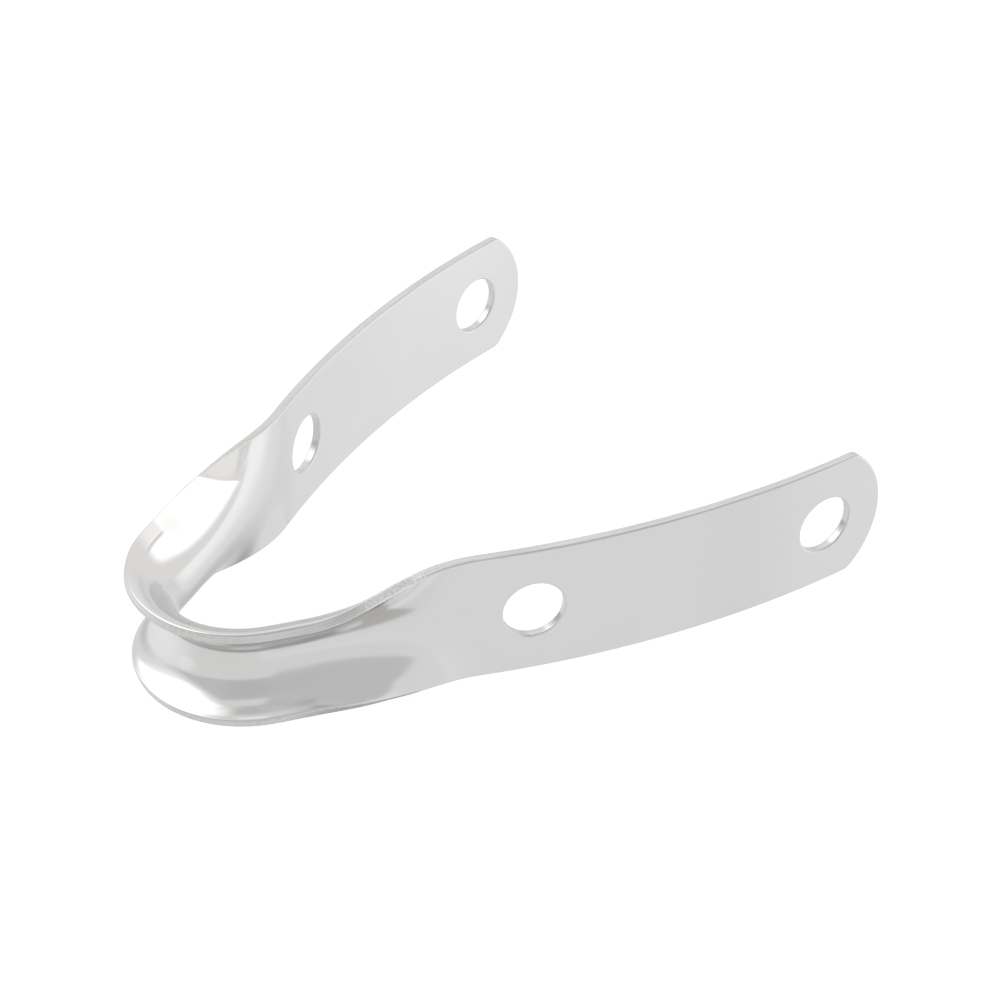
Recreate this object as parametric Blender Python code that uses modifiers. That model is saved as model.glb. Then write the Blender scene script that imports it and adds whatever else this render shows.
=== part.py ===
"""Stem-head fairlead: one strap of stainless sheet, pressed into a V that screws round a dinghy's bow.

Metres, +Z up. The nose points forward along -Y, the arms run aft along +Y, and the port arm is at +X.
The origin is under the middle of the strap, level with its lower edges.

The strap is one strip. At the nose it is pressed into a groove that opens outwards, so a rope led
through the loop bears on a rounded inner surface. The groove fades to flat sheet along the arms.
A place on the strip is a station (the distance from the middle of the nose along the strip) and a
share across it, from -1 at the lower edge to 1 at the upper one.
"""

import math

import bmesh
import bpy
from mathutils import Matrix, Vector

# The strip before pressing
STRIP_WIDTH = 0.0127
SHEET = 0.0009
HALF_LENGTH = 0.0659
TIP_RADIUS = 0.0079
HOLE_RADIUS = 0.00275
HOLE_STATIONS = (0.03085, 0.05955)
SEAT_HALF_LENGTH = 0.0029

# The bend seen from above, on the middle of the sheet
NOSE_RADIUS = 0.0064
NOSE_END = 0.00745
FLARE_RADIUS = -0.206
FLARE_END = 0.0253
ARM_RADIUS = 0.093
BEND_BLEND = 0.003

# The groove across the nose
GROOVE_HALF_ANGLE = math.radians(78.0)
GROOVE_FULL_TO = 0.0105
GROOVE_GONE_AT = 0.026

# Fineness of the solid
MARCH_STEP = 0.00005
NOSE_STEP = 0.0011
ARM_STEP = 0.0032
TIP_STEPS = 4
STRIPS_ACROSS = 16
HOLE_SEGMENTS = 48
CUTTER_DEPTH = 0.004

STEEL_COLOUR = (0.78, 0.78, 0.77, 1.0)
STEEL_ROUGHNESS = 0.22


def clear_scene():
    for thing in list(bpy.data.objects):
        bpy.data.objects.remove(thing, do_unlink=True)


def new_collection(name):
    collection = bpy.data.collections.new(name)
    bpy.context.scene.collection.children.link(collection)
    return collection


def steel_material():
    material = bpy.data.materials.new("stainless_steel")
    material.use_nodes = True
    shader = material.node_tree.nodes["Principled BSDF"]
    shader.inputs["Base Color"].default_value = STEEL_COLOUR
    shader.inputs["Metallic"].default_value = 1.0
    shader.inputs["Roughness"].default_value = STEEL_ROUGHNESS
    return material


def ease(value, start, end):
    """0 up to start, 1 from end on, and a smooth rise between."""
    share = min(1.0, max(0.0, (value - start) / (end - start)))
    return share * share * (3.0 - 2.0 * share)


def curvature(station):
    """How fast the strip turns inboard at a station, seen from above."""
    half = BEND_BLEND / 2.0
    past_nose = ease(station, NOSE_END - half, NOSE_END + half)
    in_arm = ease(station, FLARE_END - half, FLARE_END + half)
    nose = (1.0 - past_nose) / NOSE_RADIUS
    flare = past_nose * (1.0 - in_arm) / FLARE_RADIUS
    return nose + flare + in_arm / ARM_RADIUS


def march_plan():
    """(distance to port, distance aft, heading) of the strip's middle at each step of the port side."""
    steps = math.ceil(HALF_LENGTH / MARCH_STEP)
    points = [(0.0, 0.0, 0.0)]
    for step in range(steps):
        across, aft, heading = points[-1]
        middle = heading + curvature((step + 0.25) * MARCH_STEP) * MARCH_STEP / 2.0
        turned = heading + curvature((step + 0.5) * MARCH_STEP) * MARCH_STEP
        across += math.cos(middle) * MARCH_STEP
        aft += math.sin(middle) * MARCH_STEP
        points.append((across, aft, turned))
    return points


PLAN = march_plan()


def plan_at(station):
    """The plan point and heading at a station; a negative station is on the starboard side."""
    place = min(abs(station) / MARCH_STEP, len(PLAN) - 1.001)
    before = int(place)
    share = place - before
    across, aft, heading = (a + (b - a) * share for a, b in zip(PLAN[before], PLAN[before + 1]))
    side = 1.0 if station >= 0.0 else -1.0
    return side * across, aft, side * heading


def groove_at(station):
    """(half angle, radius) of the groove's arc across the strip."""
    fade = 1.0 - ease(abs(station), GROOVE_FULL_TO, GROOVE_GONE_AT)
    angle = max(GROOVE_HALF_ANGLE * fade, 1e-4)
    return angle, STRIP_WIDTH / (2.0 * angle)


def strap_point(station, share):
    """A point on the middle of the sheet, before it is centred on the origin."""
    across, aft, heading = plan_at(station)
    angle, radius = groove_at(station)
    flare = radius * (1.0 - math.cos(share * angle))
    height = radius * math.sin(share * angle)
    outboard = Vector((math.sin(heading), -math.cos(heading), 0.0))
    return Vector((across, aft, height)) + outboard * flare


def origin_shift():
    """Moves the strap so that the origin is under its middle, level with its lower edges."""
    lip = strap_point(0.0, 1.0).y - SHEET / 2.0 * math.cos(GROOVE_HALF_ANGLE)
    heading = plan_at(HALF_LENGTH)[2]
    tip = strap_point(HALF_LENGTH, 0.0).y + SHEET / 2.0 * abs(math.cos(heading))
    return Vector((0.0, -(lip + tip) / 2.0, STRIP_WIDTH / 2.0))


def spread(start, end, most):
    """Even stations from start to end, no further apart than most, without the first."""
    count = math.ceil((end - start) / most)
    return [start + (end - start) * (i + 1) / count for i in range(count)]


def half_stations():
    """The port side's stations. Each hole sits in the middle of one flat length of arm, its seat."""
    stations = [0.0] + spread(0.0, GROOVE_GONE_AT, NOSE_STEP)
    for hole in HOLE_STATIONS:
        stations += spread(stations[-1], hole - SEAT_HALF_LENGTH, ARM_STEP)
        stations.append(hole + SEAT_HALF_LENGTH)
    return stations + spread(stations[-1], HALF_LENGTH, (HALF_LENGTH - stations[-1]) / TIP_STEPS)


def rounded_station(station, share):
    """Draws the stations beyond the last seat in, so that the strip ends in an arc."""
    seat_end = HOLE_STATIONS[-1] + SEAT_HALF_LENGTH
    beyond = max(0.0, abs(station) - seat_end) / (HALF_LENGTH - seat_end)
    height = share * STRIP_WIDTH / 2.0
    drawn_in = TIP_RADIUS - math.sqrt(TIP_RADIUS**2 - height**2)
    return math.copysign(abs(station) - beyond * drawn_in, station)


def strap_surface():
    """The middle of the sheet: a flat grid, rolled to the strap's shape."""
    port = half_stations()
    stations = [-s for s in reversed(port[1:])] + port
    lengths = len(stations) - 1
    shift = origin_shift()
    mesh = bmesh.new()
    bmesh.ops.create_grid(mesh, x_segments=lengths, y_segments=STRIPS_ACROSS, size=1.0)
    for vertex in mesh.verts:
        station = stations[round((vertex.co.x + 1.0) / 2.0 * lengths)]
        share = vertex.co.y
        vertex.co = strap_point(rounded_station(station, share), share) + shift
    bmesh.ops.recalc_face_normals(mesh, faces=mesh.faces)
    return mesh


def object_from(mesh, name, collection):
    data = bpy.data.meshes.new(name)
    mesh.to_mesh(data)
    mesh.free()
    made = bpy.data.objects.new(name, data)
    collection.objects.link(made)
    return made


def hole_cutter(station, collection):
    """A cylinder across one arm, square to the hole's seat."""
    aft_end = strap_point(station + SEAT_HALF_LENGTH, 0.0)
    forward_end = strap_point(station - SEAT_HALF_LENGTH, 0.0)
    along = (aft_end - forward_end).normalized()
    outboard = along.cross(Vector((0.0, 0.0, 1.0)))
    mesh = bmesh.new()
    bmesh.ops.create_cone(
        mesh,
        cap_ends=True,
        segments=HOLE_SEGMENTS,
        radius1=HOLE_RADIUS,
        radius2=HOLE_RADIUS,
        depth=CUTTER_DEPTH,
    )
    cutter = object_from(mesh, "hole_cutter", collection)
    turn = outboard.to_track_quat("Z", "Y").to_matrix().to_4x4()
    cutter.matrix_world = Matrix.Translation((aft_end + forward_end) / 2.0 + origin_shift()) @ turn
    cutter.hide_render = True
    cutter.display_type = "WIRE"
    return cutter


def add_strap(collection, cutters):
    strap = object_from(strap_surface(), "fairlead_strap", collection)
    strap.data.materials.append(steel_material())
    strap.data.shade_smooth()
    strap.data.set_sharp_from_angle(angle=math.radians(40.0))
    sheet = strap.modifiers.new("sheet", "SOLIDIFY")
    sheet.thickness = SHEET
    sheet.offset = 0.0
    sheet.use_even_offset = True
    holes = strap.modifiers.new("holes", "BOOLEAN")
    holes.operation = "DIFFERENCE"
    holes.solver = "EXACT"
    holes.operand_type = "COLLECTION"
    holes.collection = cutters
    return strap


def main():
    clear_scene()
    parts = new_collection("stem_head_fairlead")
    cutters = new_collection("hole_cutters")
    for station in HOLE_STATIONS:
        hole_cutter(station, cutters)
        hole_cutter(-station, cutters)
    add_strap(parts, cutters)


main()
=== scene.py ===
"""The looks of the stem-head fairlead: a strap of polished, pressed stainless strip in a pale studio.

The strap is made again here as one fine surface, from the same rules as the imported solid, so that
its reflections run smoothly and its sheared edges are rounded. Its size and place come from the
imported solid's box.

A place on the flat blank is given by its station, the distance along the strip from the middle of
the nose, with port positive, and by its distance across the strip, with up positive.
"""

import math

import bpy
import numpy as np
from mathutils import Matrix, Vector
from mathutils.geometry import delaunay_2d_cdt


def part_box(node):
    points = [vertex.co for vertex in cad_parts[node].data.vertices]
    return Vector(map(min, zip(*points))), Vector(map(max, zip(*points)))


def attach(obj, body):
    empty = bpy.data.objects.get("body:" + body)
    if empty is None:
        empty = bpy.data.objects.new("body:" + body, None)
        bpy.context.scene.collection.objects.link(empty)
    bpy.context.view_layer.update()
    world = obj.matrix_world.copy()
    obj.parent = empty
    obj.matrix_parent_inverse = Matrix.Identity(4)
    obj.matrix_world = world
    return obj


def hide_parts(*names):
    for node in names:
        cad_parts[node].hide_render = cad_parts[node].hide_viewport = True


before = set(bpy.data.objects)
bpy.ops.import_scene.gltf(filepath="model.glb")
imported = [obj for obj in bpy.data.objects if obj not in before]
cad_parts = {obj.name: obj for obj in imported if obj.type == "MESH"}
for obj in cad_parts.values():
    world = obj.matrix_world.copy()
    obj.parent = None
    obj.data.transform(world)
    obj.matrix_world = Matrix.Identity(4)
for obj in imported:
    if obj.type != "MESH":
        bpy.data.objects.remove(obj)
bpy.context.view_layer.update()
NODE = "fairlead_strap"

# ---------------------------------------------------------------------------------------------
# The strip, in metres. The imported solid's box sets its place and its final size.
# ---------------------------------------------------------------------------------------------
LOW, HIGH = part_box(NODE)
MIDDLE = (LOW + HIGH) / 2.0
WIDTH = 0.0127
SHEET = 0.0009
HALF_LENGTH = 0.0659
TIP_RADIUS = 0.0079
TIP_CORNER = 0.0012
HOLE_RADIUS = 0.00275
HOLE_DISTANCES = (0.03085, 0.05955)
HOLE_STATIONS = [side * distance for distance in HOLE_DISTANCES for side in (-1.0, 1.0)]

# The bend seen from above: a tight nose, a slight reverse flare, and arms that curve inboard
NOSE_RADIUS = 0.0064
NOSE_END = 0.00745
FLARE_RADIUS = -0.206
FLARE_END = 0.0253
ARM_RADIUS = 0.093
BEND_BLEND = 0.003

# The groove across the nose: a round arc that fades along the arms to an angle that is all but flat
GROOVE_HALF_ANGLE = math.radians(78.0)
GROOVE_FULL_TO = 0.0105
GROOVE_GONE_AT = 0.026
FLAT_ANGLE = 0.00001

# How finely the surface is made
EDGE_ROUND = 0.0002
EDGE_STEPS = 5
HOLE_RIM = HOLE_RADIUS + EDGE_ROUND
HOLE_POINTS = 112
CELL = 0.0004
CLEAR_OF_RIM = 0.6 * CELL
MARCH_STEP = 0.00002
NUDGE = 0.000002
SAME_POINT_MM = 1e-7

MM = 1000.0
DEGREES = math.degrees(1.0)
WHITE = (1.0, 1.0, 1.0, 1.0)


def ease(value, start, end):
    """0 up to start, 1 from end on, and a smooth rise between."""
    share = np.clip((value - start) / (end - start), 0.0, 1.0)
    return share * share * (3.0 - 2.0 * share)


def plan_table():
    """Stations with the strip's distance to port, distance aft and heading there, seen from above."""
    past_tip = HALF_LENGTH + 0.001
    station = np.arange(0.0, past_tip, MARCH_STEP)
    middle = station + MARCH_STEP / 2.0
    half = BEND_BLEND / 2.0
    past_nose = ease(middle, NOSE_END - half, NOSE_END + half)
    in_arm = ease(middle, FLARE_END - half, FLARE_END + half)
    curvature = (1.0 - past_nose) / NOSE_RADIUS
    curvature = curvature + past_nose * (1.0 - in_arm) / FLARE_RADIUS + in_arm / ARM_RADIUS
    heading = np.concatenate([[0.0], np.cumsum(curvature * MARCH_STEP)])
    between = (heading[1:] + heading[:-1]) / 2.0
    across = np.concatenate([[0.0], np.cumsum(np.cos(between) * MARCH_STEP)])
    aft = np.concatenate([[0.0], np.cumsum(np.sin(between) * MARCH_STEP)])
    count = len(station)
    return station, across[:count], aft[:count], heading[:count]


PLAN = plan_table()


def middle_surface(place):
    """Points on the middle of the sheet, for rows of (station, distance across the strip)."""
    station, height = place[:, 0], place[:, 1]
    side = np.where(station < 0.0, -1.0, 1.0)
    far = np.abs(station)
    across = np.interp(far, PLAN[0], PLAN[1]) * side
    aft = np.interp(far, PLAN[0], PLAN[2])
    heading = np.interp(far, PLAN[0], PLAN[3]) * side
    fade = 1.0 - ease(far, GROOVE_FULL_TO, GROOVE_GONE_AT)
    angle = np.maximum(GROOVE_HALF_ANGLE * fade, FLAT_ANGLE)
    radius = WIDTH / (2.0 * angle)
    turn = height / (WIDTH / 2.0) * angle
    flare = radius * (1.0 - np.cos(turn))
    rise = radius * np.sin(turn)
    return np.stack([across + flare * np.sin(heading), aft - flare * np.cos(heading), rise], axis=1)


def normals_at(place):
    """Unit vectors out of the sheet's outboard face, and unit vectors along the strip."""
    along = middle_surface(place + [NUDGE, 0.0]) - middle_surface(place - [NUDGE, 0.0])
    up = middle_surface(place + [0.0, NUDGE]) - middle_surface(place - [0.0, NUDGE])
    normal = np.cross(along, up)
    normal /= np.linalg.norm(normal, axis=1, keepdims=True)
    along /= np.linalg.norm(along, axis=1, keepdims=True)
    return normal, along


def arc_points(centre, radius, start, end):
    """Points round an arc and the directions out from its centre, without the last one."""
    count = max(3, math.ceil(abs(end - start) * (radius + EDGE_ROUND) / CELL))
    angle = np.linspace(start, end, count, endpoint=False)
    out = np.stack([np.cos(angle), np.sin(angle)], axis=1)
    return np.array(centre) + radius * out, out


def strip_outline():
    """The strip's outline, drawn in by the rounding of its edge, and the directions out of it."""
    arc_centre = HALF_LENGTH - TIP_RADIUS
    corner_height = WIDTH / 2.0 - TIP_CORNER
    corner_reach = math.sqrt((TIP_RADIUS - TIP_CORNER) ** 2 - corner_height**2)
    corner = arc_centre + corner_reach
    swing = math.atan2(corner_height, corner_reach)
    quarter = math.pi / 2.0
    corner_radius = TIP_CORNER - EDGE_ROUND
    side_height = WIDTH / 2.0 - EDGE_ROUND
    side_count = math.ceil(2.0 * corner / CELL)
    side = np.linspace(corner, -corner, side_count, endpoint=False)
    upper = np.stack([side, np.full(side_count, side_height)], axis=1)
    port_tip = arc_points((arc_centre, 0.0), TIP_RADIUS - EDGE_ROUND, -swing, swing)
    port_corner = arc_points((corner, corner_height), corner_radius, swing, quarter)
    upper_side = (upper, np.tile([0.0, 1.0], (side_count, 1)))
    far_corner = arc_points((-corner, corner_height), corner_radius, quarter, 2.0 * quarter - swing)
    half = [port_tip, port_corner, upper_side, far_corner]
    whole = half + [(-points, -out) for points, out in half]
    return np.concatenate([points for points, _ in whole]), np.concatenate([out for _, out in whole])


def hole_outline(station):
    """A hole's rim, opened by the rounding of its edge, and the directions into the hole."""
    angle = np.linspace(0.0, -2.0 * math.pi, HOLE_POINTS, endpoint=False)
    out = np.stack([np.cos(angle), np.sin(angle)], axis=1)
    return np.array([station, 0.0]) + HOLE_RIM * out, -out


def inner_points():
    """An even grid of places that keeps clear of the tips and the holes."""
    count_along = math.ceil(2.0 * HALF_LENGTH / CELL)
    count_across = math.ceil(WIDTH / CELL)
    along = np.linspace(-HALF_LENGTH, HALF_LENGTH, count_along + 1)
    across = np.linspace(-WIDTH / 2.0, WIDTH / 2.0, count_across + 1)[1:-1]
    grid = np.stack(np.meshgrid(along, across), axis=-1).reshape(-1, 2)
    past_arc = np.maximum(np.abs(grid[:, 0]) - (HALF_LENGTH - TIP_RADIUS), 0.0)
    keep = np.hypot(past_arc, grid[:, 1]) < TIP_RADIUS - EDGE_ROUND - CLEAR_OF_RIM
    for hole in HOLE_STATIONS:
        keep &= np.hypot(grid[:, 0] - hole, grid[:, 1]) > HOLE_RIM + CLEAR_OF_RIM
    return grid[keep]


def face_triangles(loops):
    """Places over the whole blank, and the triangles between them, with the holes left open."""
    loop_places = [places for places, _ in loops]
    places = np.concatenate(loop_places + [inner_points()])
    edges = []
    start = 0
    for loop in loop_places:
        count = len(loop)
        edges += [(start + i, start + (i + 1) % count) for i in range(count)]
        start += count
    flat = [Vector(place) for place in places * MM]
    _, _, faces, given, _, _ = delaunay_2d_cdt(flat, edges, [], 0, SAME_POINT_MM)
    assert [ids[0] for ids in given] == list(range(len(places)))
    faces = np.array([list(face) for face in faces])
    middle = places[faces].mean(axis=1)
    keep = np.ones(len(faces), bool)
    for hole in HOLE_STATIONS:
        keep &= np.hypot(middle[:, 0] - hole, middle[:, 1]) > HOLE_RIM
    return places, faces[keep]


def edge_profile():
    """(distance out, height over the sheet's middle, angle of the normal) down a rounded edge."""
    flat = SHEET / 2.0 - EDGE_ROUND
    turns = [math.pi / 2.0 * i / EDGE_STEPS for i in range(1, EDGE_STEPS + 1)]
    upper = [(EDGE_ROUND * math.sin(a), flat + EDGE_ROUND * math.cos(a), a) for a in turns]
    lower = [(out, -height, math.pi - a) for out, height, a in reversed(upper)]
    return upper + lower


class Skin:
    """The strap's vertices, normals and faces, and for the steel each vertex's place and edge share."""

    def __init__(self):
        self.points, self.normals, self.faces, self.places = [], [], [], []
        self.edge_share = []
        self.count = 0

    def add(self, points, normals, places, depth, edge_share):
        """Adds vertices at one depth in the sheet, and gives the number of the first."""
        start = self.count
        self.points.append(points)
        self.normals.append(normals)
        self.places.append(np.column_stack([places, np.full(len(points), depth)]))
        self.edge_share.append(np.full(len(points), edge_share))
        self.count += len(points)
        return start


def strap_skin():
    """Both faces of the sheet, joined round the outline and each hole by a rounded edge."""
    loops = [strip_outline()]
    loops += [hole_outline(hole) for hole in HOLE_STATIONS]
    places, triangles = face_triangles(loops)
    middle = middle_surface(places)
    normal, along = normals_at(places)
    skin = Skin()
    outer = skin.add(middle + normal * SHEET / 2.0, normal, places, SHEET / 2.0, 0.0)
    inner = skin.add(middle - normal * SHEET / 2.0, -normal, places, -SHEET / 2.0, 0.0)
    skin.faces += (triangles + outer).tolist()
    skin.faces += (triangles[:, ::-1] + inner).tolist()
    across = np.cross(normal, along)
    start = 0
    for loop, out in loops:
        count = len(loop)
        own = slice(start, start + count)
        outward = along[own] * out[:, :1] + across[own] * out[:, 1:]
        rows = [outer + start]
        for reach, height, angle in edge_profile():
            points = middle[own] + outward * reach + normal[own] * height
            facing = outward * math.sin(angle) + normal[own] * math.cos(angle)
            rows.append(skin.add(points, facing, loop, height, math.sin(angle) ** 2))
        rows.append(inner + start)
        for a, b in zip(rows, rows[1:]):
            for i in range(count):
                j = (i + 1) % count
                skin.faces.append((a + i, b + i, b + j, a + j))
        start += count
    return skin


def strap_object(material):
    """The strap as one smooth mesh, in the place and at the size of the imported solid."""
    skin = strap_skin()
    points = np.concatenate(skin.points)
    low, high = points.min(axis=0), points.max(axis=0)
    scale = (HIGH.y - LOW.y) / (high[1] - low[1])
    points = (points - (low + high) / 2.0) * scale + np.array(MIDDLE)
    mesh = bpy.data.meshes.new("polished_strap")
    mesh.from_pydata(points.tolist(), [], skin.faces)
    mesh.validate()
    mesh.shade_smooth()
    mesh.normals_split_custom_set_from_vertices(np.concatenate(skin.normals).tolist())
    places = np.concatenate(skin.places).astype(np.float32)
    edge_share = np.concatenate(skin.edge_share).astype(np.float32)
    strip_place = mesh.attributes.new("strip_place", "FLOAT_VECTOR", "POINT")
    strip_place.data.foreach_set("vector", places.ravel())
    share = mesh.attributes.new("edge_share", "FLOAT", "POINT")
    share.data.foreach_set("value", edge_share)
    mesh.materials.append(material)
    strap = bpy.data.objects.new("polished_strap", mesh)
    bpy.context.scene.collection.objects.link(strap)
    return strap


# ---------------------------------------------------------------------------------------------
# Node trees
# ---------------------------------------------------------------------------------------------


class Wiring:
    """Adds nodes to one tree and joins them, with a short call for each kind of sum."""

    def __init__(self, tree):
        self.tree = tree
        tree.nodes.clear()

    def add(self, kind, inputs=None, **settings):
        node = self.tree.nodes.new(kind)
        for name, value in settings.items():
            setattr(node, name, value)
        for key, value in (inputs or {}).items():
            if isinstance(value, bpy.types.NodeSocket):
                self.tree.links.new(value, node.inputs[key])
            else:
                node.inputs[key].default_value = value
        return node

    def math(self, operation, first, second=0.0, third=0.0):
        inputs = {0: first, 1: second, 2: third}
        return self.add("ShaderNodeMath", inputs, operation=operation).outputs[0]

    def times(self, *factors):
        product = factors[0]
        for factor in factors[1:]:
            product = self.math("MULTIPLY", product, factor)
        return product

    def line(self, value, slope, level):
        """slope times value, added to level."""
        return self.math("MULTIPLY_ADD", value, slope, level)

    def line_through(self, value, at, level, slope):
        """A straight line with this slope that has this level where value is at."""
        return self.line(value, slope, level - slope * at)

    def bowl(self, value, middle):
        """The square of how far value is from its middle."""
        return self.math("POWER", self.line(value, 1.0, -middle), 2.0)

    def rise(self, value, start, end):
        """0 below start, 1 above end, smooth between; it falls instead when end is below start."""
        ends = {"From Min": min(start, end), "From Max": max(start, end)}
        levels = {"To Min": 0.0, "To Max": 1.0} if end > start else {"To Min": 1.0, "To Max": 0.0}
        inputs = {"Value": value} | ends | levels
        return self.add("ShaderNodeMapRange", inputs, interpolation_type="SMOOTHSTEP").outputs[0]

    def band(self, value, start, full_from, full_to, end):
        """1 from full_from to full_to, 0 before start and after end."""
        return self.times(self.rise(value, start, full_from), self.rise(value, end, full_to))

    def spread(self, value, low, high):
        """Carries 0 to 1 onto low to high."""
        return self.line(value, high - low, low)

    def mix(self, share, first, second):
        inputs = {"Factor": share, 2: first, 3: second}
        return self.add("ShaderNodeMix", inputs, data_type="FLOAT").outputs[0]

    def tint(self, share, first, second):
        inputs = {"Factor": share, 6: first, 7: second}
        return self.add("ShaderNodeMix", inputs, data_type="RGBA").outputs[2]

    def vector(self, x, y, z):
        return self.add("ShaderNodeCombineXYZ", {0: x, 1: y, 2: z}).outputs[0]

    def parts(self, vector):
        return self.add("ShaderNodeSeparateXYZ", {0: vector}).outputs

    def scaled(self, vector, scale):
        inputs = {0: vector, "Scale": scale}
        return self.add("ShaderNodeVectorMath", inputs, operation="SCALE").outputs[0]

    def distance(self, point, other):
        inputs = {0: point, 1: other}
        return self.add("ShaderNodeVectorMath", inputs, operation="DISTANCE").outputs["Value"]

    def noise(self, vector, scale, detail=3.0, roughness=0.5, distortion=0.0):
        inputs = {"Vector": vector, "Scale": scale, "Detail": detail}
        inputs |= {"Roughness": roughness, "Distortion": distortion}
        return self.add("ShaderNodeTexNoise", inputs).outputs[0]

    def ray(self, fact):
        """A fact about the ray, such as how many mirror reflections it has made."""
        return self.add("ShaderNodeLightPath").outputs[fact]

    def glow(self, colour, strength):
        return self.add("ShaderNodeEmission", {"Color": colour, "Strength": strength}).outputs[0]

    def surface(self, shader):
        self.add("ShaderNodeOutputMaterial", {"Surface": shader})


def new_material(name):
    material = bpy.data.materials.new(name)
    material.use_nodes = True
    return material, Wiring(material.node_tree)


# ---------------------------------------------------------------------------------------------
# Stainless steel. The mesh's strip_place holds each vertex's station, distance across the strip and
# depth in the sheet, outboard positive, all in metres. Its edge_share is 0 on a face and 1 where a
# rounded edge is square to the face.
# ---------------------------------------------------------------------------------------------
FACE_DULL = (0.788, 0.786, 0.783, 1.0)
FACE_CLEAN = (0.804, 0.803, 0.802, 1.0)
RIM_DULL = (0.66, 0.655, 0.64, 1.0)
RIM_CLEAN = (0.80, 0.797, 0.79, 1.0)
BUMP_HEIGHT = 0.000004


def painted_reflection_level(w, station, across, depth, edge):
    """Painted reflection brightness: a factor on the steel's colour that only the strap's reflections of
    itself show, lightening or darkening them from place to place.
    """
    from_nose = w.math("ABSOLUTE", station)

    # Painted reflection brightness outboard: the nose's reflections are painted darker below its middle
    # and brighter above it, and the arms' the other way round
    low_half = w.spread(w.rise(from_nose, 0.0135, 0.017), 0.76, 1.2)
    high_half = w.spread(w.rise(from_nose, 0.0085, 0.0125), 1.25, 0.98)
    outboard = w.mix(w.rise(across, -0.0005, 0.002), low_half, high_half)

    # Painted reflection brightness inboard: the port arm's reflections are painted brighter than the
    # rest
    inboard = w.spread(w.rise(station, 0.0, 0.03), 0.9, 1.25)
    shine = w.mix(w.rise(depth, -0.0001, 0.0001), inboard, outboard)

    # The walls of the screw holes are the edges that lie near the middle of the strip, short of the
    # tips; a painted highlight makes their reflections brighter
    near_middle = w.rise(w.math("ABSOLUTE", across), 0.0034, 0.0031)
    hole_wall = w.times(w.rise(edge, 0.0, 0.1), near_middle, w.rise(from_nose, 0.0632, 0.0628))
    return w.mix(hole_wall, shine, 1.3)


def worn_rim(w, station, across, edge, grain):
    """The bright, speckled stretch of the upper sheared edge, where the port arm starts."""
    stretch = w.band(station, 0.0145, 0.017, 0.0195, 0.0225)
    speckle = w.spread(w.rise(grain, 0.35, 0.65), 0.1, 0.7)
    return w.times(edge, w.rise(across, 0.005, 0.006), stretch, speckle)


def steel_material():
    material, w = new_material("polished_stainless")
    place = w.add("ShaderNodeAttribute", attribute_name="strip_place").outputs["Vector"]
    station, across, depth = w.parts(place)
    edge = w.add("ShaderNodeAttribute", attribute_name="edge_share").outputs["Fac"]
    edge = w.rise(edge, 0.15, 0.85)
    solid = w.add("ShaderNodeTexCoord").outputs["Object"]

    # Rolling and polishing lines along the strip, then broad smudges and a few fine scratches
    rolled = w.noise(w.vector(w.times(station, 70.0), w.times(across, 3600.0), 0.0), 1.0, 4.0, 0.6)
    polish = w.noise(w.vector(w.times(station, 220.0), w.times(across, 1500.0), 3.0), 1.0, 2.0)
    smudge = w.noise(solid, 160.0, 3.0, 0.55, 0.6)
    bloom = w.noise(solid, 60.0, 2.0)
    crossed = w.line(station, 0.45, w.times(across, 0.9))
    scratch = w.noise(w.vector(w.times(crossed, 1900.0), w.times(across, 90.0), 7.0), 1.0, 1.0)
    scratch = w.times(w.rise(scratch, 0.72, 0.76), w.rise(smudge, 0.5, 0.62))

    # The sheared rim: lines along it from the blade and the buffing, and a faint drag across it
    run = w.math("ADD", w.times(across, 3.0), station)
    lines = w.noise(w.vector(w.times(run, 160.0), w.times(depth, 7500.0), 0.0), 1.0, 3.0, 0.6)
    drag = w.noise(w.vector(w.times(run, 4200.0), w.times(depth, 1200.0), 5.0), 1.0, 3.0, 0.65)
    worked = w.rise(w.noise(solid, 110.0, 2.0), 0.45, 0.62)
    grain = w.noise(solid, 5200.0, 2.0)
    rim_mark = w.mix(w.spread(worked, 0.15, 0.5), lines, drag)

    # Colour, with the worn rim seen directly, and the painted reflection brightness, which changes from
    # place to place, seen only in reflections
    face_colour = w.tint(w.rise(bloom, 0.35, 0.7), FACE_DULL, FACE_CLEAN)
    rim_colour = w.tint(w.rise(rim_mark, 0.36, 0.64), RIM_DULL, RIM_CLEAN)
    first_look = w.line(worn_rim(w, station, across, edge, grain), 1.0, 1.0)
    mirrored = w.math("GREATER_THAN", w.ray("Glossy Depth"), 0.5)
    # Painted reflection brightness: where the strap is seen in its own reflection, its colour is
    # lightened or darkened by place
    shine = w.mix(mirrored, first_look, painted_reflection_level(w, station, across, depth, edge))
    colour = w.scaled(w.tint(edge, face_colour, rim_colour), shine)

    face_rough = w.math("ADD", w.spread(smudge, 0.085, 0.15), w.times(scratch, 0.12))
    rim_rough = w.spread(rim_mark, 0.16, 0.30)
    roughness = w.mix(edge, face_rough, rim_rough)

    face_relief = w.math("ADD", w.times(polish, 0.4), w.times(scratch, -0.8))
    face_relief = w.math("ADD", w.times(rolled, 0.5), face_relief)
    rim_relief = w.times(rim_mark, 2.2)
    relief = w.mix(edge, face_relief, rim_relief)
    bump = {"Height": relief, "Strength": 0.35, "Distance": BUMP_HEIGHT}
    normal = w.add("ShaderNodeBump", bump).outputs[0]

    shader = {"Base Color": colour, "Metallic": 1.0, "Roughness": roughness, "Normal": normal}
    w.surface(w.add("ShaderNodeBsdfPrincipled", shader).outputs[0])
    return material


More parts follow.
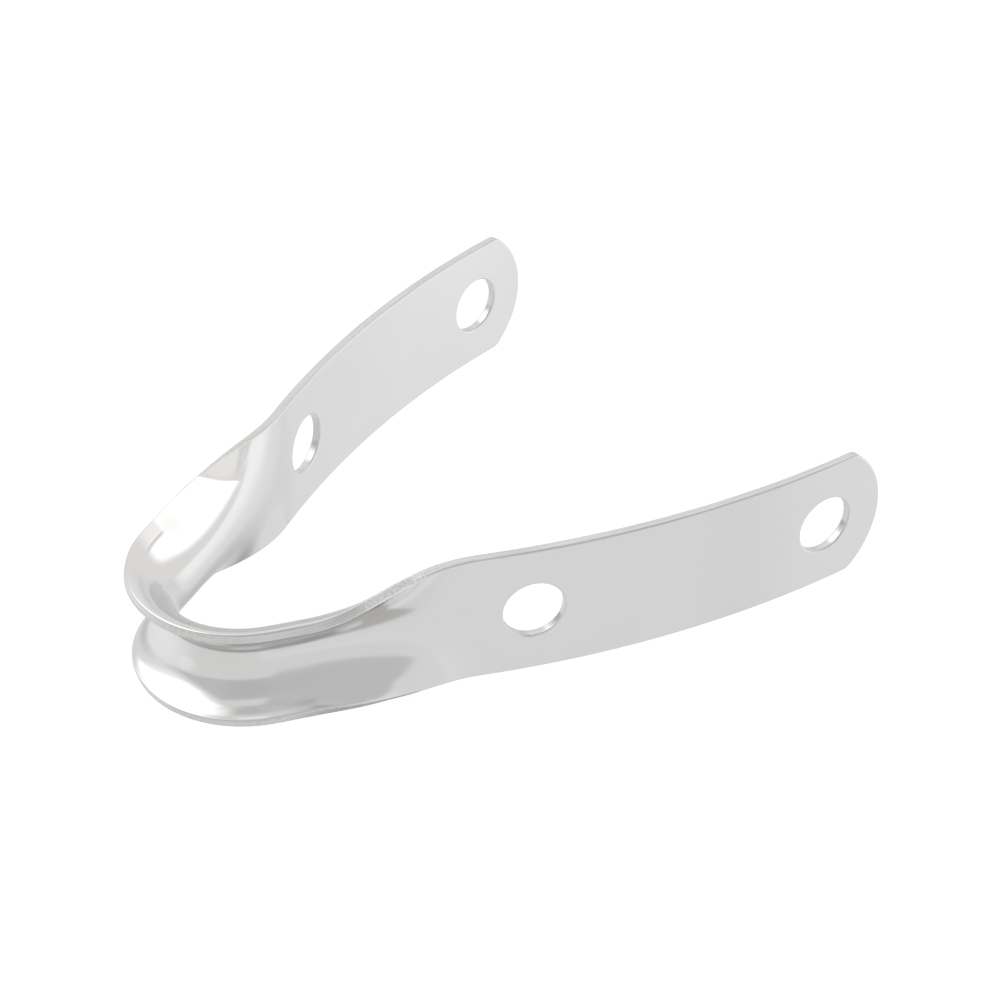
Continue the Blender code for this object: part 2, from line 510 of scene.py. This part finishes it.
# ---------------------------------------------------------------------------------------------
# Studio: soft light from all round, with the shapes that the polished steel mirrors. Azimuths are
# in degrees, 0 forward and 90 to port, and so are elevations, 0 level and 90 straight up. Amounts of
# light are shares of the level of the paper that the strap lies on.
# ---------------------------------------------------------------------------------------------
PAPER_LEVEL = 0.775
PAPER_SHARE = 0.985
ROOM_SHARE = 0.775
SCRIM_SHARE = 1.0
ZENITH_SHARE = 0.74
SPILL_SHARES = (0.5, 1.35)
KEY_SHARE = 2.0
FLOOR_HALF = 2.0
FLOOR_GLOW = 0.83


def toward(azimuth, elevation):
    """The unit direction of an azimuth and an elevation."""
    a, e = math.radians(azimuth), math.radians(elevation)
    return Vector((math.sin(a) * math.cos(e), -math.cos(a) * math.cos(e), math.sin(e)))


class Sky(Wiring):
    """The world's wiring, with the direction that is looked in."""

    def __init__(self, tree):
        super().__init__(tree)
        self.direction = self.add("ShaderNodeTexCoord").outputs["Generated"]
        x, y, z = self.parts(self.direction)
        self.azimuth = self.times(self.math("ARCTAN2", x, self.times(y, -1.0)), DEGREES)
        self.elevation = self.times(self.math("ARCSINE", z), DEGREES)

    def disc(self, azimuth, elevation, inner, outer):
        """1 within inner degrees of a direction, 0 beyond outer degrees."""
        inputs = {0: self.direction, 1: toward(azimuth, elevation)}
        facing = self.add("ShaderNodeVectorMath", inputs, operation="DOT_PRODUCT").outputs["Value"]
        return self.rise(self.times(self.math("ARCCOSINE", facing), DEGREES), outer, inner)

    def turned(self, *ends):
        """A band of azimuths."""
        return self.band(self.azimuth, *ends)

    def raised(self, *ends):
        """A band of elevations."""
        return self.band(self.elevation, *ends)


def pale_paper(sky):
    """The paper below: brighter to starboard, ahead and behind to port, and darker below astern."""
    behind = sky.times(sky.disc(146.0, -16.0, 8.0, 34.0), sky.rise(sky.azimuth, 133.0, 139.0))
    behind = sky.times(behind, sky.rise(sky.elevation, -38.5, -25.0))
    to_port = sky.times(sky.turned(60.0, 72.0, 104.0, 118.0), sky.raised(-60.0, -46.0, -30.0, -24.0))
    light = sky.line(sky.disc(-75.0, -8.0, 10.0, 62.0), 0.24, PAPER_SHARE)
    light = sky.line(behind, 0.27, light)
    light = sky.line(sky.disc(-28.0, -2.0, 6.0, 20.0), 0.13, light)
    light = sky.line(sky.disc(-150.0, -52.0, 5.0, 24.0), -0.20, light)
    light = sky.line(sky.disc(-172.0, -66.0, 8.0, 20.0), -0.25, light)
    return sky.line(to_port, 0.055, light)


def with_walls(sky, light):
    """The pale walls on both sides, and a brighter stretch behind to port."""
    wall = sky.math("MAXIMUM", sky.rise(sky.azimuth, -96.0, -118.0), sky.rise(sky.azimuth, 70.0, 84.0))
    light = sky.line(sky.times(wall, sky.rise(sky.elevation, -44.0, -30.0)), 0.05, light)
    return sky.line(sky.turned(108.0, 124.0, 180.0, 200.0), 0.10, light)


def with_faint_shapes(sky, light):
    """The paper's dark edge to starboard, a curved dark line astern, and a glow above that line."""
    side_edge = sky.times(sky.raised(6.0, 11.0, 16.0, 24.0), sky.turned(-126.0, -106.0, -98.0, -56.0))
    light = sky.line(side_edge, -0.26, light)
    sagging = sky.line(sky.bowl(sky.azimuth, -137.0), 0.031, 12.5)
    rear_line = sky.band(sky.math("SUBTRACT", sky.elevation, sagging), -5.0, -1.0, 1.0, 5.0)
    rear_line = sky.times(rear_line, sky.turned(-176.0, -170.0, -138.0, -128.0))
    light = sky.line(rear_line, -0.10, light)
    rear_glow = sky.times(sky.raised(10.0, 24.0, 60.0, 74.0), sky.turned(-152.0, -138.0, -112.0, -98.0))
    return sky.line(rear_glow, 0.14, light)


def with_room(sky, light):
    """The darker room in front, above the paper's far edge, which steps up to port."""
    front_edge = sky.math("MINIMUM", sky.line(sky.azimuth, 0.1, 17.0), 16.0)
    front_edge = sky.math("MINIMUM", front_edge, sky.line_through(sky.azimuth, 74.0, 12.0, -4.14))
    steep = sky.line_through(sky.azimuth, 82.0, -17.0, 1.72)
    shallow = sky.line_through(sky.azimuth, 101.0, 16.0, 0.75)
    port_edge = sky.math("MINIMUM", sky.math("MINIMUM", steep, shallow), 46.0)
    above = sky.math("SUBTRACT", sky.elevation, sky.math("MAXIMUM", front_edge, port_edge))
    room = sky.times(sky.rise(above, -1.5, 1.5), sky.turned(-72.0, -18.0, 162.0, 174.0))
    return sky.mix(room, light, sky.line(sky.disc(49.0, 37.0, 8.0, 34.0), -0.06, ROOM_SHARE))


def with_lamps(sky, light):
    """An overhead scrim that is dark in its middle, and the key softbox ahead with its soft spill."""
    scrim = sky.times(sky.rise(sky.elevation, 58.0, 64.0), sky.turned(-60.0, -20.0, 72.0, 80.0))
    light = sky.mix(scrim, light, SCRIM_SHARE)
    light = sky.mix(sky.rise(sky.elevation, 74.0, 79.0), light, ZENITH_SHARE)
    spill = sky.spread(sky.disc(-56.0, 50.0, 20.0, 50.0), *SPILL_SHARES)
    light = sky.math("MAXIMUM", light, spill)
    low_corner = sky.math("MAXIMUM", sky.line_through(sky.elevation, 44.0, 0.0, -1.4), 0.0)
    key = sky.rise(sky.math("ADD", sky.azimuth, low_corner), -4.0, -27.0)
    key = sky.times(key, sky.rise(sky.azimuth, -98.0, -86.0), sky.raised(28.0, 34.0, 69.0, 75.0))
    return sky.mix(key, light, KEY_SHARE)


def with_second_look(sky, light):
    """Light that meets the strap twice: brighter from starboard and level ahead, dimmer low ahead."""
    starboard = sky.times(sky.turned(-100.0, -80.0, -16.0, 36.0), sky.rise(sky.elevation, -12.0, -24.0))
    low_ahead = sky.times(sky.turned(14.0, 34.0, 92.0, 112.0), sky.rise(sky.elevation, -20.0, -32.0))
    ahead = sky.times(sky.turned(20.0, 40.0, 66.0, 74.0), sky.raised(-16.0, -4.0, 4.0, 10.0))
    change = sky.line(starboard, 0.9, sky.line(low_ahead, -0.22, sky.times(ahead, 0.4)))
    twice = sky.math("GREATER_THAN", sky.ray("Glossy Depth"), 1.5)
    return sky.line(twice, change, light)


def add_studio():
    world = bpy.data.worlds.new("studio")
    bpy.context.scene.world = world
    world.use_nodes = True
    sky = Sky(world.node_tree)
    light = with_walls(sky, pale_paper(sky))
    light = with_faint_shapes(sky, light)
    light = with_room(sky, light)
    light = with_lamps(sky, light)
    light = with_second_look(sky, light)

    # The camera itself sees a plain white background
    light = sky.mix(sky.ray("Is Camera Ray"), sky.times(light, PAPER_LEVEL), 1.0)
    warm = sky.times(sky.rise(sky.elevation, 8.0, -8.0), sky.turned(-40.0, -10.0, 50.0, 72.0))
    cool = sky.turned(-112.0, -92.0, -66.0, -40.0)
    colour = sky.tint(warm, WHITE, (1.0, 0.993, 0.982, 1.0))
    colour = sky.tint(cool, colour, (0.978, 0.984, 1.0, 1.0))
    background = sky.add("ShaderNodeBackground", {"Color": colour, "Strength": light})
    sky.add("ShaderNodeOutputWorld", {"Surface": background.outputs[0]})


def flat_object(name, x_ends, y_ends, material):
    """A flat rectangle, facing up, that is part of the studio."""
    (x0, x1), (y0, y1) = x_ends, y_ends
    mesh = bpy.data.meshes.new(name)
    mesh.from_pydata([(x0, y0, 0.0), (x1, y0, 0.0), (x1, y1, 0.0), (x0, y1, 0.0)], [], [(0, 1, 2, 3)])
    mesh.materials.append(material)
    flat = bpy.data.objects.new(name, mesh)
    bpy.context.scene.collection.objects.link(flat)
    return flat


def add_floor():
    """A pale floor, which reflections don't see, as the world holds what they show."""
    material, w = new_material("pale_floor")
    paper = w.noise(w.add("ShaderNodeTexCoord").outputs["Object"], 40.0, 4.0)
    colour = w.tint(paper, (0.37, 0.37, 0.367, 1.0), (0.385, 0.385, 0.382, 1.0))
    matt = w.add("ShaderNodeBsdfDiffuse", {"Color": colour}).outputs[0]
    lit = w.glow((1.0, 1.0, 0.995, 1.0), FLOOR_GLOW)
    w.surface(w.add("ShaderNodeAddShader", {0: matt, 1: lit}).outputs[0])
    ends = (-FLOOR_HALF, FLOOR_HALF)
    floor = flat_object("floor", ends, ends, material)
    floor.location.z = LOW.z
    floor.visible_glossy = False


# ---------------------------------------------------------------------------------------------
# Cards that only the strap's reflections see. Their places and sizes are in metres, and the rules in
# their nodes are in millimetres. "Across" and "along" are a card's own directions.
# ---------------------------------------------------------------------------------------------
FAR_NOSE = MIDDLE + Vector((-0.0094, -0.01958, 0.00415))
SOFTBOX_DISTANCE = 0.05
SOFTBOX_ACROSS = (-0.1, 0.19)
SOFTBOX_ALONG = (-0.13, 0.026)
SMUDGE_MM = (-8.9, -22.4, 10.8)
PANEL_SHARES = (1.12, 1.24)
GLOW_SHARE = 0.85
FOOT_TO_PORT = (0.008, 0.02)
FOOT_AFT = (-0.026, -0.012)
FOOT_LIFT = 0.0001
FOOT_SHARE = 0.66


def show_on_card(w, cover, glow):
    """The glow where the card is covered, and nothing elsewhere."""
    clear = w.add("ShaderNodeBsdfTransparent").outputs[0]
    w.surface(w.add("ShaderNodeMixShader", {0: cover, 1: clear, 2: glow}).outputs[0])


def add_card(name, x_ends, y_ends, matrix, material):
    """A flat card that only reflections see."""
    card = flat_object(name, x_ends, y_ends, material)
    card.matrix_world = matrix
    card.visible_camera = False
    card.visible_diffuse = False
    card.visible_shadow = False


def mirrored_point(w):
    """The point that a ray to the card comes from, which is on the strap."""
    geometry = w.add("ShaderNodeNewGeometry").outputs
    back = w.scaled(geometry["Incoming"], w.ray("Ray Length"))
    inputs = {0: geometry["Position"], 1: back}
    point = w.add("ShaderNodeVectorMath", inputs, operation="ADD").outputs[0]
    return w.scaled(point, MM)


def softbox_glow(w, left, point):
    """The lamp: a straight edge, a lower edge that follows the groove, and a smudge."""
    _, aft, height = w.parts(point)
    groove = w.line(w.bowl(aft, -19.8), 0.031, 8.5)
    above = w.math("SUBTRACT", height, groove)
    smudge = w.rise(w.distance(point, SMUDGE_MM), 2.8, 0.4)
    glow = w.times(w.rise(left, -1.0, 1.5), w.rise(above, 0.1, 0.9), w.line(smudge, -0.45, 1.0))

    # Ahead it dims above a thin dark line, and it fades out forward and before the lip's upper end
    ahead = w.rise(aft, -23.2, -23.9)
    glow = w.mix(w.times(w.rise(height, 10.9, 10.98), ahead), glow, 0.3)
    glow = w.mix(w.times(w.band(height, 10.7, 10.8, 10.88, 10.96), ahead), glow, -0.06)
    rim_end = w.line(height, 2.0, aft)
    return w.times(glow, w.rise(aft, -26.7, -24.9), w.rise(rim_end, 6.9, 6.4))


def add_back_softbox():
    """A gridded softbox behind the nose, aimed at its far side."""
    facing = toward(170.0, 55.0)
    right = Vector((0.0, 0.0, 1.0)).cross(facing).normalized()
    up = facing.cross(right)
    material, w = new_material("back_softbox")
    place = w.scaled(w.add("ShaderNodeTexCoord").outputs["Object"], MM)
    across, along, _ = w.parts(place)
    point = mirrored_point(w)

    # A plain panel, a little brighter beyond the lamp's straight edge, with the lamp's glow on it
    left = w.math("SUBTRACT", across, w.line(along, 0.27, -22.5))
    panel = w.spread(w.rise(left, 0.0, -2.0), *PANEL_SHARES)
    glow = w.times(softbox_glow(w, left, point), w.spread(w.rise(across, 30.0, 90.0), 1.0, 0.42))
    strength = w.times(w.line(glow, GLOW_SHARE, panel), PAPER_LEVEL)

    # The grid: only the far side of the nose sees the softbox, and only in a first reflection
    cover = w.rise(w.distance(point, FAR_NOSE * MM), 12.0, 9.0)
    cover = w.times(cover, w.math("LESS_THAN", w.ray("Glossy Depth"), 1.5))
    cover = w.times(cover, w.band(across, -100.0, -85.0, 170.0, 190.0))
    cover = w.times(cover, w.band(along, -130.0, -112.0, 24.0, 26.0))
    show_on_card(w, cover, w.glow((1.0, 0.99, 0.975, 1.0), strength))
    turn = Matrix((right, up, facing)).transposed()
    matrix = Matrix.LocRotScale(FAR_NOSE + facing * SOFTBOX_DISTANCE, turn, None)
    add_card("back_softbox", SOFTBOX_ACROSS, SOFTBOX_ALONG, matrix, material)


def add_foot_shade():
    """The shade on the floor beside the near lip, which the strap's underside mirrors."""
    material, w = new_material("foot_shade")
    place = w.scaled(w.add("ShaderNodeNewGeometry").outputs["Position"], MM)
    x, y, _ = w.parts(place)
    reach = w.line(w.bowl(y, -22.0), 0.058, 12.7)
    cover = w.times(w.rise(w.math("SUBTRACT", x, reach), 0.5, -0.4), w.rise(y, -12.2, -12.9))
    cover = w.times(cover, w.rise(y, -25.0, -20.0))
    show_on_card(w, cover, w.glow((1.0, 0.98, 0.96, 1.0), FOOT_SHARE * PAPER_LEVEL))
    matrix = Matrix.Translation((0.0, 0.0, LOW.z + FOOT_LIFT))
    add_card("foot_shade", FOOT_TO_PORT, FOOT_AFT, matrix, material)


# ---------------------------------------------------------------------------------------------
# Camera: the photo's viewing angle, from ahead to port and above
# ---------------------------------------------------------------------------------------------
CAMERA_AZIMUTH = 49.0114
CAMERA_ELEVATION = 36.5129
CAMERA_DISTANCE = 0.247251
CAMERA_LENS = 98.525
CAMERA_CLIP = 0.001
CAMERA_AIM = MIDDLE + Vector((0.00265, 0.0053975, 0.0))


def add_camera():
    data = bpy.data.cameras.new("camera")
    data.lens = CAMERA_LENS
    data.clip_start = CAMERA_CLIP
    camera = bpy.data.objects.new("camera", data)
    bpy.context.scene.collection.objects.link(camera)
    back = toward(CAMERA_AZIMUTH, CAMERA_ELEVATION)
    camera.location = CAMERA_AIM + back * CAMERA_DISTANCE
    camera.rotation_mode = "QUATERNION"
    camera.rotation_quaternion = (-back).to_track_quat("-Z", "Y")
    bpy.context.scene.camera = camera


strap = strap_object(steel_material())
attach(strap, "root")
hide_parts(NODE)
add_floor()
add_back_softbox()
add_foot_shade()
add_studio()
add_camera()
bpy.context.scene.view_settings.view_transform = "Standard"
